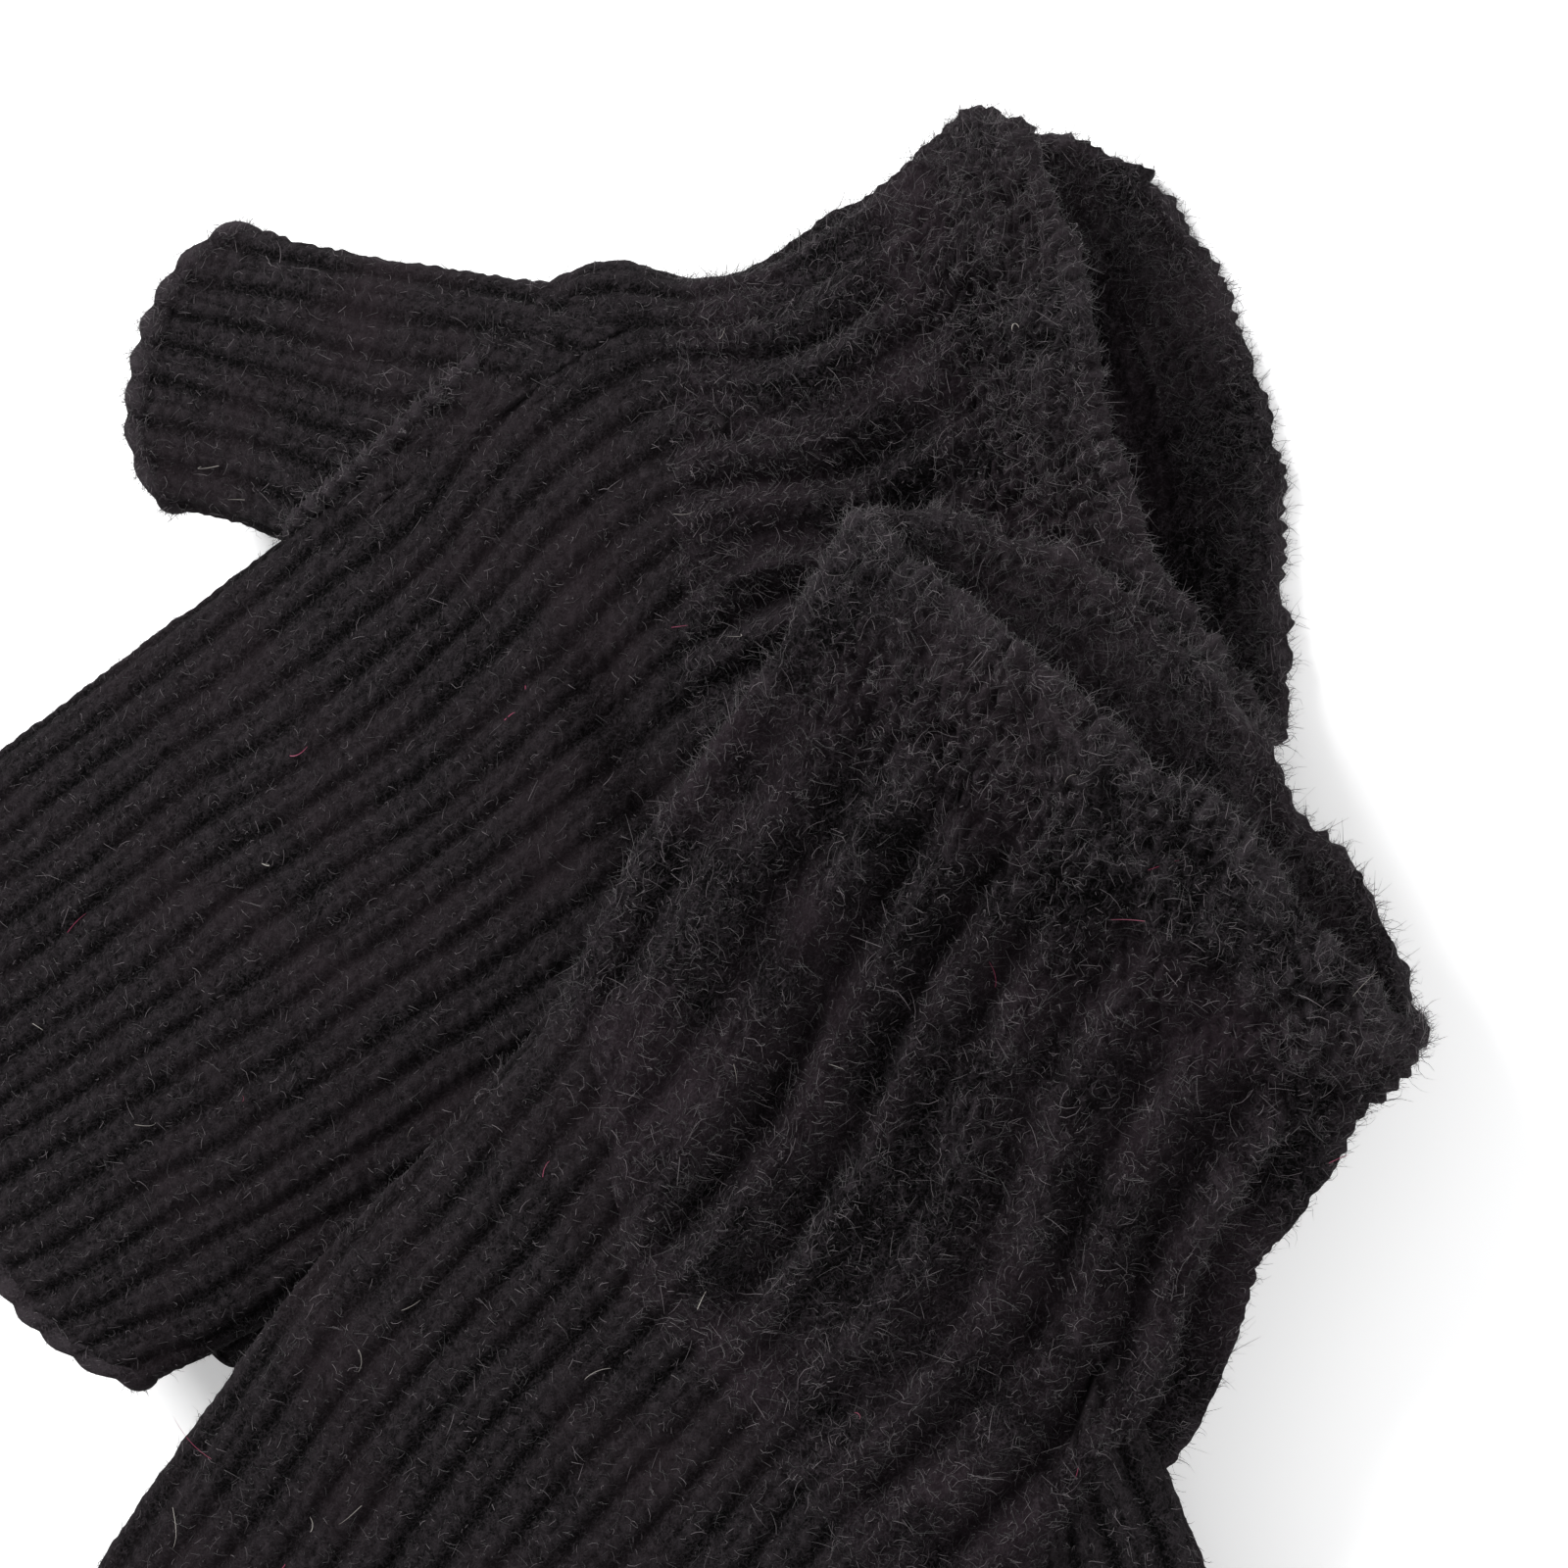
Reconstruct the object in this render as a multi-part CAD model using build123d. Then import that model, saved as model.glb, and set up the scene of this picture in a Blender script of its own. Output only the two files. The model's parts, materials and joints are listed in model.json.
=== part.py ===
from build123d import *
import os
from math import atan2, cos, degrees, hypot, radians, sin, tan

os.makedirs("parts", exist_ok=True)

# A pair of rib-knit convertible mittens lying palm up, the left one leaning on the right one.
# Each mitten is drawn in its own frame: X from the finger opening to the cuff mouth,
# +Y to the thumb side, Z up, table at Z = 0.  All sizes in mm.

# Knit thickness and clearances
WALL = 2.0             # knit wall of the hand, thumb and cap
CUFF_WALL = 2.6        # felted knit wall of the cuff
SWING_CLEAR = 0.4      # room between the turning cap and the hand

# Hand tube
LENGTH = 180.0         # finger opening to cuff mouth, along the middle
CUFF_LENGTH = 65.0
FINGER_W, FINGER_T = 84.0, 10.0
PALM_W, PALM_T = 88.0, 12.0
WRIST_W, WRIST_T = 82.0, 14.0
BAND = 4.0             # bound-off edge at the finger opening
SLOPE = tan(radians(4.0))   # the back of the hand falls towards the wrist over the folded cap

# Cuff
CUFF_W, CUFF_T = 88.0, 24.0
SOLE = 0.3             # cut off below the cuff so that it lies flat
MOUTH_W, MOUTH_T = 91.0, 27.0
RIM = 6.0              # cast-on edge of the cuff
RIM_SKEW = 10.0        # degrees the mouth is pulled askew in plan
RIM_LEAN = 16.0        # degrees the upper lip of the mouth leans back

# Thumb
THUMB_W, THUMB_T = 39.0, 13.0
THUMB_TIP = Vector(71.0, 75.0)   # centre of the open thumb end
THUMB_ANGLE = 45.0     # degrees away from the finger direction
THUMB_EDGE = 3.5       # bound-off edge of the thumb
THUMB_DEPTH = 52.0     # thumb end back to inside the palm
SEAM_W, SEAM_PROUD = 3.0, 1.4

# Flip cap, folded back under the hand
HINGE_IN = 5.0         # hinge line behind the finger opening
HINGE_GAP = 1.65       # hinge line below the back of the hand
HINGE_R = 1.25
CAP_INNER_W = FINGER_W + 2.0
CAP_WALL = 2.3
CAP_LENGTH = 80.0      # hinge line to the rounded tip
CAP_ROUND = 36.0       # length of the rounded tip
HEM = 4.0              # hem past the hinge line

# Button and loop that hold the folded cap
BUTTON_R, BUTTON_T = 7.5, 3.0
SHANK_R, SHANK_H = 2.0, 2.4
LOOP_R, LOOP_WIRE = 9.4, 0.8

# Layout of the pair on the table
RIGHT_YAW = 30.5
RIGHT_FINGERS = Vector(-108.0, -42.4, 0)
LEFT_YAW, LEFT_PITCH, LEFT_ROLL = 52.0, 5.0, 11.0
LEFT_FINGERS = Vector(-60.8, -141.8, 8.02)

HINGE_X = HINGE_IN
SWING_R = hypot(HINGE_IN, FINGER_T + HINGE_GAP + SLOPE * HINGE_IN)
HINGE_Z = CAP_WALL + SWING_CLEAR + SWING_R
BACK_Z = HINGE_Z + HINGE_GAP + SLOPE * HINGE_IN      # back of the hand at the finger opening
WRIST_X = LENGTH - CUFF_LENGTH
THUMB_DIR = Vector(-cos(radians(THUMB_ANGLE)), sin(radians(THUMB_ANGLE)), 0)


def back(x):
    """Height of the back of the hand at station x."""
    return BACK_Z - SLOPE * x


def section(x, low, width, height, trim=0.0):
    """Slab-shaped cross-section with fully rounded sides, its underside at height low."""
    w, h = width - 2 * trim, height - 2 * trim
    plane = Plane(origin=(x, 0, low + height / 2), x_dir=(0, 1, 0), z_dir=(1, 0, 0))
    return plane * RectangleRounded(w, h, min(h * 0.48, 12.0))


def tube(stations, wall):
    """Open tube through the stations (x, underside, width, height)."""
    outer = loft([section(*s) for s in stations], ruled=True)
    first, last = stations[0], stations[-1]
    inner = [section(first[0] - 0.5, *first[1:], trim=wall)]
    inner += [section(*s, trim=wall) for s in stations[1:-1]]
    inner += [section(last[0] + 0.5, *last[1:], trim=wall)]
    return outer, outer - loft(inner, ruled=True)


def slab(x0, x1, y0, y1, z0=-20.0, z1=80.0):
    """Box between the given limits, used to trim other shapes."""
    return Pos((x0 + x1) / 2, (y0 + y1) / 2, (z0 + z1) / 2) * Box(x1 - x0, y1 - y0, z1 - z0)


def thumb_bar(width, height, start, end):
    """Solid bar along the thumb, from start to end measured back from the thumb end."""
    z = back(THUMB_TIP.X + 25) + PALM_T / 2
    origin = Vector(THUMB_TIP.X, THUMB_TIP.Y, z) - THUMB_DIR * end
    across = Vector(-THUMB_DIR.Y, THUMB_DIR.X, 0)
    plane = Plane(origin=origin, x_dir=across, z_dir=THUMB_DIR)
    return extrude(plane * RectangleRounded(width, height, height * 0.48), end - start)


def cuff_and_rim(skew):
    """Cuff tube from the wrist to the mouth, split at the cast-on edge."""
    stations = [
        (WRIST_X, back(WRIST_X), WRIST_W, WRIST_T),
        (WRIST_X + 30, -SOLE, CUFF_W, CUFF_T + SOLE),
        (LENGTH + 20, -SOLE, MOUTH_W + 2, MOUTH_T + 1 + SOLE),
    ]
    shell = tube(stations, CUFF_WALL)[1] & slab(0, LENGTH + 40, -90, 90, z0=0)
    lean = radians(RIM_LEAN)
    normal = Vector(cos(lean) * cos(radians(skew)), cos(lean) * sin(radians(skew)), sin(lean))
    centre = Vector(LENGTH, 0, MOUTH_T / 2)
    end = Plane(origin=centre, z_dir=normal)
    edge = Plane(origin=centre - normal * RIM, z_dir=normal)
    shell = split(shell, bisect_by=end, keep=Keep.BOTTOM)
    cuff = split(shell, bisect_by=edge, keep=Keep.BOTTOM)
    rim = split(shell, bisect_by=edge, keep=Keep.TOP)
    return cuff, rim


def hand_parts():
    """Hand tube, its bound-off edge, and the thumb with its seam and edge."""
    stations = [
        (0, back(0), FINGER_W, FINGER_T),
        (12, back(12), FINGER_W, FINGER_T),
        (60, back(60), PALM_W, PALM_T),
        (WRIST_X, back(WRIST_X), WRIST_W, WRIST_T),
    ]
    solid, shell = tube(stations, WALL)
    band = shell & slab(-1, BAND, -60, 60)
    hand = shell & slab(BAND, LENGTH, -60, 60)

    edge_y = PALM_W / 2
    outside = slab(0, WRIST_X, edge_y - 14, 130)
    bar = thumb_bar(THUMB_W, THUMB_T, 0, THUMB_DEPTH) & outside
    bore = thumb_bar(THUMB_W - 2 * WALL, THUMB_T - 2 * WALL, -1, THUMB_DEPTH)
    hand -= bore & slab(0, LENGTH, edge_y - 16, 130)
    thumb = bar - bore - solid
    edge = thumb & thumb_bar(60, 30, -1, THUMB_EDGE)
    thumb -= thumb_bar(60, 30, -1, THUMB_EDGE)
    collar = thumb_bar(THUMB_W + 2 * SEAM_PROUD, THUMB_T + 2 * SEAM_PROUD, 2, THUMB_DEPTH)
    seam = (collar - thumb_bar(THUMB_W, THUMB_T, 0, THUMB_DEPTH + 5)) \
        & slab(0, WRIST_X, edge_y + 0.2, edge_y + 0.2 + SEAM_W)
    return hand, band, thumb, edge, seam


def cap_profile(trim):
    """Plan outline of the cap: straight sides and a rounded tip."""
    half = CAP_INNER_W / 2 + CAP_WALL - trim
    tip = HINGE_X + CAP_LENGTH - trim
    with BuildSketch() as outline:
        with BuildLine():
            Polyline((tip - CAP_ROUND, half), (-HEM, half), (-HEM, -half), (tip - CAP_ROUND, -half))
            EllipticalCenterArc((tip - CAP_ROUND, 0), CAP_ROUND, half, -90, arc_size=180)
        make_face()
    return outline.sketch


def cap_parts():
    """Folded cap pouch, its hem and the rolled hinge seam."""
    top_gap = HINGE_GAP - 1.25
    far = HINGE_X + CAP_LENGTH + 10

    def wedge(trim):
        side = Plane.XZ * make_face(Polyline(
            (-HEM - 1, trim), (far, trim), (far, back(far) - top_gap - trim),
            (-HEM - 1, back(-HEM - 1) - top_gap - trim), (-HEM - 1, trim)))
        return extrude(side, 70, both=True)

    def pouch(trim):
        body = extrude(cap_profile(trim), 40) & wedge(trim)
        seams = [edge for edge in body.edges() if edge.center().X > -HEM + 1]
        return fillet(seams, 3.0 - trim / 2)

    shell = pouch(0) - pouch(CAP_WALL)
    mouth = HINGE_X + HINGE_R
    cap = shell & slab(mouth, far, -60, 60)
    below = HINGE_Z - HINGE_R - 0.3
    hem = (shell & slab(HINGE_X - HEM, mouth, -60, 60, -1, below)) \
        - slab(-20, mouth, -CAP_INNER_W / 2, CAP_INNER_W / 2, CAP_WALL, 60)
    width = CAP_INNER_W - 6
    seam = Pos(HINGE_X, 0, HINGE_Z) * Rot(90, 0, 0) * Cylinder(HINGE_R, width)
    return cap, hem, seam


def fastener():
    """Button with its thread shank on the hand, and the loop on the cap tip."""
    x = HINGE_X + CAP_LENGTH + LOOP_R - 0.8
    frame = Pos(x, 0, back(x)) * Rot(0, degrees(atan2(SLOPE, 1)), 0)
    height = -SHANK_H - BUTTON_T / 2
    button = Pos(-0.2, 0, height) * Cylinder(BUTTON_R, BUTTON_T)
    button = fillet(button.edges(), 0.8)
    for dx, dy in ((1.8, 1.8), (-1.8, 1.8), (1.8, -1.8), (-1.8, -1.8)):
        button -= Pos(dx - 0.2, dy, height) * Cylinder(0.9, BUTTON_T + 1)
    shank = Pos(-0.2, 0, -SHANK_H / 2) * Cylinder(SHANK_R, SHANK_H - 0.2)
    loop = Pos(0, 0, -SHANK_H / 2) * Torus(LOOP_R, LOOP_WIRE)
    return frame * button, frame * shank, frame * loop


def mitten(skew):
    """All pieces of one mitten in its own frame."""
    cuff, rim = cuff_and_rim(skew)
    hand, band, thumb, thumb_edge, thumb_seam = hand_parts()
    cap, hem, hinge_seam = cap_parts()
    button, shank, loop = fastener()
    loop -= cap
    return {
        "cuff": cuff, "cuff_rim": rim, "hand": hand, "finger_edge": band,
        "thumb": thumb, "thumb_edge": thumb_edge, "thumb_seam": thumb_seam,
        "cap": cap, "cap_hem": hem, "cap_hinge_seam": hinge_seam,
        "button": button, "button_thread": shank, "button_loop": loop,
    }


right = mitten(-RIM_SKEW)
left = {name: mirror(piece, about=Plane.XZ) for name, piece in mitten(RIM_SKEW).items()}

right_place = Pos(*RIGHT_FINGERS) * Rot(0, 0, RIGHT_YAW)
left_place = Pos(*LEFT_FINGERS) * Rot(0, 0, LEFT_YAW) * Rot(0, -LEFT_PITCH, 0) * Rot(LEFT_ROLL, 0, 0)
pieces = {f"right_{name}": right_place * piece for name, piece in right.items()}
pieces.update({f"left_{name}": left_place * piece for name, piece in left.items()})

# Origin under the middle of the pair
boxes = [piece.bounding_box() for piece in pieces.values()]
middle_x = (min(b.min.X for b in boxes) + max(b.max.X for b in boxes)) / 2
middle_y = (min(b.min.Y for b in boxes) + max(b.max.Y for b in boxes)) / 2
shift = Pos(-middle_x, -middle_y, 0)

for name, piece in pieces.items():
    export_step(shift * piece, f"parts/{name}.step")
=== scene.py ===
import json
from math import cos, pi, radians, sin, tan

import bpy
import numpy as np
from mathutils import Matrix, Vector

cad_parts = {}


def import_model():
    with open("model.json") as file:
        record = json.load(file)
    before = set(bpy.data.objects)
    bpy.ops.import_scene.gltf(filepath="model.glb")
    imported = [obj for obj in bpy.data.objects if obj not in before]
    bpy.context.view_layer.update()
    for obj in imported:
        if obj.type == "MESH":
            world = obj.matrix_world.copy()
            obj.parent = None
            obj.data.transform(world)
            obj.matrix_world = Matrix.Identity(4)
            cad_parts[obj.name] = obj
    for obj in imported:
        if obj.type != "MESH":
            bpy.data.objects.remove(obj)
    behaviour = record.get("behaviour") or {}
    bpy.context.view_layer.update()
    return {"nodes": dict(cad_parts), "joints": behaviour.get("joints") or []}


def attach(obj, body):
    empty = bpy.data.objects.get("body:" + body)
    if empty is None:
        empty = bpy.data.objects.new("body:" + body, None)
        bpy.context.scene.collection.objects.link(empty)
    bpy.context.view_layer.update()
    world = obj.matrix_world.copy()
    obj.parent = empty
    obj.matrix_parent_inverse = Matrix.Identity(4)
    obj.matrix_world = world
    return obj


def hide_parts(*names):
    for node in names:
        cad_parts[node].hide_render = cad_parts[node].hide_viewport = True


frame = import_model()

# ---------------------------------------------------------------- layout (mm, each mitten's own frame)
# X from the finger opening to the cuff mouth, +Y to the thumb side, Z up.
LENGTH, WRIST_X = 180.0, 115.0
SLOPE = tan(radians(4.0))
HINGE = np.array([5.0, 0.0, 15.7])
BACK_Z = HINGE[2] + 1.65 + SLOPE * 5.0
CAP_LENGTH, CAP_ROUND, CAP_HALF = 80.0, 36.0, 45.3
THUMB_TIP = np.array([71.0, 75.0])
THUMB_DIR = np.array([-cos(radians(45.0)), sin(radians(45.0)), 0.0])
ROW = 2.3                 # one row of stitches along a rib
RIBS, THUMB_RIBS = 34, 17 # ribs round the hand and round the thumb
WALES = 46                # columns of plain stitches round the cuff
LOOP_R = 9.4              # radius of the button loop
PRESS = 0.7               # knit lower than this is pressed towards the table
SECTION = np.linspace(0, 2 * pi, 1441)      # angles at which a section is drawn before resampling


def turn(axis, degrees):
    c, s = cos(radians(degrees)), sin(radians(degrees))
    return {"x": np.array([[1, 0, 0], [0, c, -s], [0, s, c]]),
            "y": np.array([[c, 0, s], [0, 1, 0], [-s, 0, c]]),
            "z": np.array([[c, -s, 0], [s, c, 0], [0, 0, 1]])}[axis]


def hinge_place(joint):
    for j in frame["joints"]:
        if j["name"] == joint:
            return np.array(j["pos_m"]) * 1000
    raise SystemExit("no joint " + joint)


TURN = {"right": turn("z", 30.5),
        "left": turn("z", 52.0) @ turn("y", -5.0) @ turn("x", 11.0) @ np.diag([1, -1, 1])}
MOVE = {side: hinge_place(side + "_cap_hinge") - TURN[side] @ HINGE for side in TURN}


def world(side, points):
    """To metres in the shared frame; knit close to the table is pressed flat on it."""
    out = points @ TURN[side].T + MOVE[side]
    z = out[..., 2]
    pressed = PRESS * np.exp(np.maximum(np.minimum(z, PRESS) - PRESS, -6.0) / PRESS) + 0.02
    out[..., 2] = np.where(z < PRESS, pressed, z)
    return out / 1000


# ---------------------------------------------------------------- small maths
def smooth(a, b, x):
    t = np.clip((x - a) / (b - a), 0, 1)
    return t * t * (3 - 2 * t)


def noise(u, v, seed, wrap=None):
    """Smooth value noise, 0 to 1; v repeats every wrap cells."""
    table = np.random.default_rng(seed).random((97, 97))
    u, v = np.broadcast_arrays(np.asarray(u, float), np.asarray(v, float))
    i, j = np.floor(u).astype(int), np.floor(v).astype(int)
    fu, fv = u - i, v - j
    fu, fv = fu * fu * (3 - 2 * fu), fv * fv * (3 - 2 * fv)
    j0, j1 = (j % wrap, (j + 1) % wrap) if wrap else (j, j + 1)
    a, b = table[i % 97, j0 % 97], table[(i + 1) % 97, j0 % 97]
    c, d = table[i % 97, j1 % 97], table[(i + 1) % 97, j1 % 97]
    return (a * (1 - fu) + b * fu) * (1 - fv) + (c * (1 - fu) + d * fu) * fv


def unit(v):
    return v / np.maximum(np.linalg.norm(v, axis=-1, keepdims=True), 1e-9)


def curve(x, *pairs):
    """Straight lines through (x, y) pairs."""
    return np.interp(x, *zip(*pairs))


def power(w, n):
    """Signed power of a sine or cosine, for sections between an oval and a rectangle."""
    return np.sign(w) * np.abs(w) ** (2 / n)


def by_arc(y, z, s):
    """Points of a closed section at the arc fractions s."""
    run = np.concatenate([[0], np.cumsum(np.hypot(np.diff(y), np.diff(z)))])
    run /= run[-1]
    return np.interp(s, run, y), np.interp(s, run, z)


def soften(values, passes):
    """Running average with fixed ends."""
    for _ in range(passes):
        values = np.concatenate([values[:1], (values[:-2] + 2 * values[1:-1] + values[2:]) / 4, values[-1:]])
    return values


# ---------------------------------------------------------------- the body surface of a mitten
STATIONS = np.arange(-18.0, 204.0, 1.0)


class Form:
    """Flattened tube given by half-widths, underside, top and squareness at each station."""

    def __init__(self, plus, minus, low, high, square_top, square_low, shear):
        self.data = [soften(np.asarray(f, float), 16) for f in (plus, minus, low, high, square_top, square_low)]
        self.shear = shear

    def table(self, s):
        plus, minus, low, high, n_top, n_low = [d[:, None] for d in self.data]
        c, q = np.cos(SECTION)[None, :], np.sin(SECTION)[None, :]
        n = np.where(q >= 0, n_top, n_low)
        y = np.where(c >= 0, plus, minus) * power(c, n)
        z = (low + high) / 2 + (high - low) / 2 * power(q, n)
        step = np.hypot(np.diff(y, axis=1), np.diff(z, axis=1))
        run = np.concatenate([np.zeros((len(y), 1)), np.cumsum(step, axis=1)], axis=1)
        run /= run[:, -1:]
        out = np.empty((len(STATIONS), len(s), 3))
        for k in range(len(STATIONS)):
            out[k, :, 1] = np.interp(s, run[k], y[k])
            out[k, :, 2] = np.interp(s, run[k], z[k])
            out[k, :, 0] = STATIONS[k]
        out[:, :, 0] += self.shear(out)
        return out

    def at(self, x, s):
        """Points of the surface at stations x (rows by columns) for arc fractions s."""
        table = self.table(s)
        f = np.clip(x - STATIONS[0], 0, len(STATIONS) - 1.001)
        i = f.astype(int)
        f = (f - i)[..., None]
        j = np.arange(len(s))[None, :]
        return table[i, j] * (1 - f) + table[i + 1, j] * f


def normals(points):
    du = np.gradient(points, axis=0)
    dv = (np.roll(points, -1, axis=1) - np.roll(points, 1, axis=1)) / 2
    return -unit(np.cross(du, dv))


def outward(n, points):
    """The directions n, turned as a whole to point away from the middle of each section."""
    away = np.mean(np.sum(n * (points - points.mean(axis=1, keepdims=True)), axis=-1))
    return -n if away < 0 else n


# ---------------------------------------------------------------- knit relief
def stitch_noise(column, row, seed):
    """One random number, 0 to 1, for each stitch."""
    table = np.random.default_rng(seed).random((89, 83))
    return table[np.floor(column).astype(int) % 89, np.floor(row).astype(int) % 83]


def off_fold(s):
    """1 on the faces, less on the side folds, where felting has worn the stitches smooth."""
    return 1 - 0.62 * np.exp(-((((np.asarray(s) * 2 + 0.5) % 1) - 0.5) / 0.075) ** 2)


def ribbed(x, s, count, seed, depth, wander=0.16):
    """Ribs along X, each a column of V-shaped stitches. Returns relief and a tone 0 to 1 that follows ridge height:
    painted shade in the grooves and clefts, plus random tone per stitch.
    """
    phase = s * count + wander * 2 * (noise(x / 15, s * count / 2, seed, wrap=max(count // 2, 1)) - 0.5)
    p = (phase + 0.5) % 1 - 0.5
    column = np.floor(phase + 0.5)
    q = np.abs(p) * 2
    ridge = np.cos(pi * p) ** 0.9
    shift = 0.5 * np.sin(column * 12.9898)      # no two ribs have their stitches level
    row = x / ROW + shift + 0.5 * (noise(x / 7, column * 0.7, seed + 5) - 0.5)
    slant = row + 0.55 * q
    bead = (0.5 + 0.5 * np.cos(2 * pi * slant)) ** 0.8
    leg = np.exp(-((q - 0.42) / 0.34) ** 2)
    each = stitch_noise(column * 2 + (p > 0), slant + 0.5, seed + 6)
    cleft = np.exp(-(p / 0.06) ** 2)
    worn = off_fold(s)
    relief = depth * (0.70 * ridge + 0.27 * leg * bead * (0.45 + 0.9 * each) * worn - 0.15 * cleft * ridge)
    relief = relief + 0.45 * (noise(x / 2.1, s * count * 2.3, seed + 9) - 0.5) * ridge
    relief = relief + 0.30 * (noise(x / 0.9, s * count * 5.1, seed + 10) - 0.5)
    # tone: painted shade, dark in the grooves, the cleft and between stitch legs; each stitch also varies at random
    tone = ridge * (0.42 + 0.38 * bead * leg + 0.30 * (each - 0.5) - 0.15 * cleft)
    return relief, np.clip(tone * 1.15, 0, 1)


def stockinette(x, s, count, seed, depth, row=2.5):
    """Felted plain knit: a V for each stitch, blurred by felting. Its tone is painted shade in the hollows between
    stitches and lumps, plus random tufts.
    """
    phase = s * count + 0.5 * (noise(x / 9, s * count / 2, seed, wrap=max(count // 2, 1)) - 0.5)
    p = (phase + 0.5) % 1 - 0.5
    column = np.floor(phase + 0.5)
    q = np.abs(p) * 2
    r = x / row + 0.8 * (noise(x / 6, column * 1.3, seed + 3) - 0.5)
    leg = np.exp(-((q - 0.5) / 0.32) ** 2)
    vee = (0.5 + 0.5 * np.cos(2 * pi * (r + 0.6 * q))) ** 0.9
    each = stitch_noise(column * 2 + (p > 0), r + 0.6 * q + 0.5, seed + 2)
    felt = 0.25 + 1.0 * noise(x / 8, s * count / 1.9, seed + 4)
    fuzz = noise(x / 0.8, s * count * 5.3, seed + 6) - 0.5
    tuft = noise(x / 1.5, s * count * 2.9, seed + 8) - 0.5
    lump = noise(x / 4.1, s * count * 1.1, seed + 7) - 0.5
    h = leg * vee * (0.6 + 0.7 * each)
    relief = off_fold(s) * (depth * felt * h + 0.40 * fuzz + 0.55 * tuft) + 0.9 * lump
    # tone follows stitch and lump height, painted shade in the hollows; tufts and fuzz vary it at random
    return relief, np.clip(0.16 + 0.62 * h * felt + 0.45 * tuft + 0.5 * lump + 0.2 * fuzz, 0, 1)


# ---------------------------------------------------------------- mesh helpers
def loft_mesh(name, rows, side, heights, close_rows=True, flip=False):
    """Mesh from a grid of points (rows by columns), wrapped round the columns."""
    n, m = rows.shape[:2]
    verts = world(side, rows.reshape(-1, 3))
    i = np.arange(n if close_rows else n - 1)
    j = np.arange(m)
    a = (i[:, None] * m + j[None, :])
    b = (i[:, None] * m + (j[None, :] + 1) % m)
    c = (((i[:, None] + 1) % n) * m + (j[None, :] + 1) % m)
    d = (((i[:, None] + 1) % n) * m + j[None, :])
    faces = np.stack([a, b, c, d], axis=-1).reshape(-1, 4)
    if (side == "right") != flip:
        faces = faces[:, ::-1]
    return new_mesh(name, verts, faces, heights)


def new_mesh(name, verts, faces, heights):
    """Smooth-shaded object; heights, 0 to 1, tell the material grooves from ridges, and the material paints low heights
    dark as shade.
    """
    mesh = bpy.data.meshes.new(name)
    k = faces.shape[1]
    mesh.vertices.add(len(verts))
    mesh.vertices.foreach_set("co", np.asarray(verts, np.float32).ravel())
    mesh.loops.add(faces.size)
    mesh.loops.foreach_set("vertex_index", np.asarray(faces, np.int32).ravel())
    mesh.polygons.add(len(faces))
    mesh.polygons.foreach_set("loop_start", np.arange(0, faces.size, k, dtype=np.int32))
    mesh.polygons.foreach_set("loop_total", np.full(len(faces), k, np.int32))
    mesh.update(calc_edges=True)
    mesh.validate()
    mesh.polygons.foreach_set("use_smooth", np.ones(len(mesh.polygons), bool))
    layer = mesh.attributes.new("relief", "FLOAT", "POINT")
    layer.data.foreach_set("value", np.asarray(heights, np.float32).ravel())
    obj = bpy.data.objects.new(name, mesh)
    bpy.context.scene.collection.objects.link(obj)
    return obj


def rounded_edge(outer, inner, ahead, steps=6):
    """Rows that turn from the outer edge row to the inner edge row round a soft, uneven rim."""
    middle, half = (outer + inner) / 2, (outer - inner) / 2
    radius = np.linalg.norm(half, axis=-1, keepdims=True)
    place = np.arange(len(outer)) / len(outer)
    rows = []
    for k in range(1, steps):
        a = pi * k / steps
        rough = 1 + 0.55 * (noise(k * 0.8, place * 92, 77, wrap=92) - 0.5) \
            + 0.35 * (noise(k * 1.7, place * 46, 78, wrap=46) - 0.5)
        rows.append(middle + (half * cos(a) + ahead * radius * sin(a)) * rough[:, None])
    return np.array(rows)


grids = []   # (side, body, kind, points, normals, tone) that fibres grow on


def knit_shell(name, side, body, outer, relief, tone, inner, inner_tone, kind, ahead=None):
    """Closed knit wall: relief outside, a smoother inside, and a soft rim if ahead is given."""
    n_out = outward(normals(outer), outer)
    skin = outer + n_out * relief[..., None]
    rows, tones = [skin], [tone]
    if ahead is not None:
        edge = rounded_edge(skin[-1], inner[-1], ahead)
        rows.append(edge)
        tones.append(np.repeat(tone[-1:], len(edge), axis=0))
    rows.append(inner[::-1])
    tones.append(inner_tone[::-1])
    obj = loft_mesh(name, np.concatenate(rows), side, np.concatenate(tones))
    grids.append((side, body, kind, skin, n_out, tone))
    return obj, skin


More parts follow.
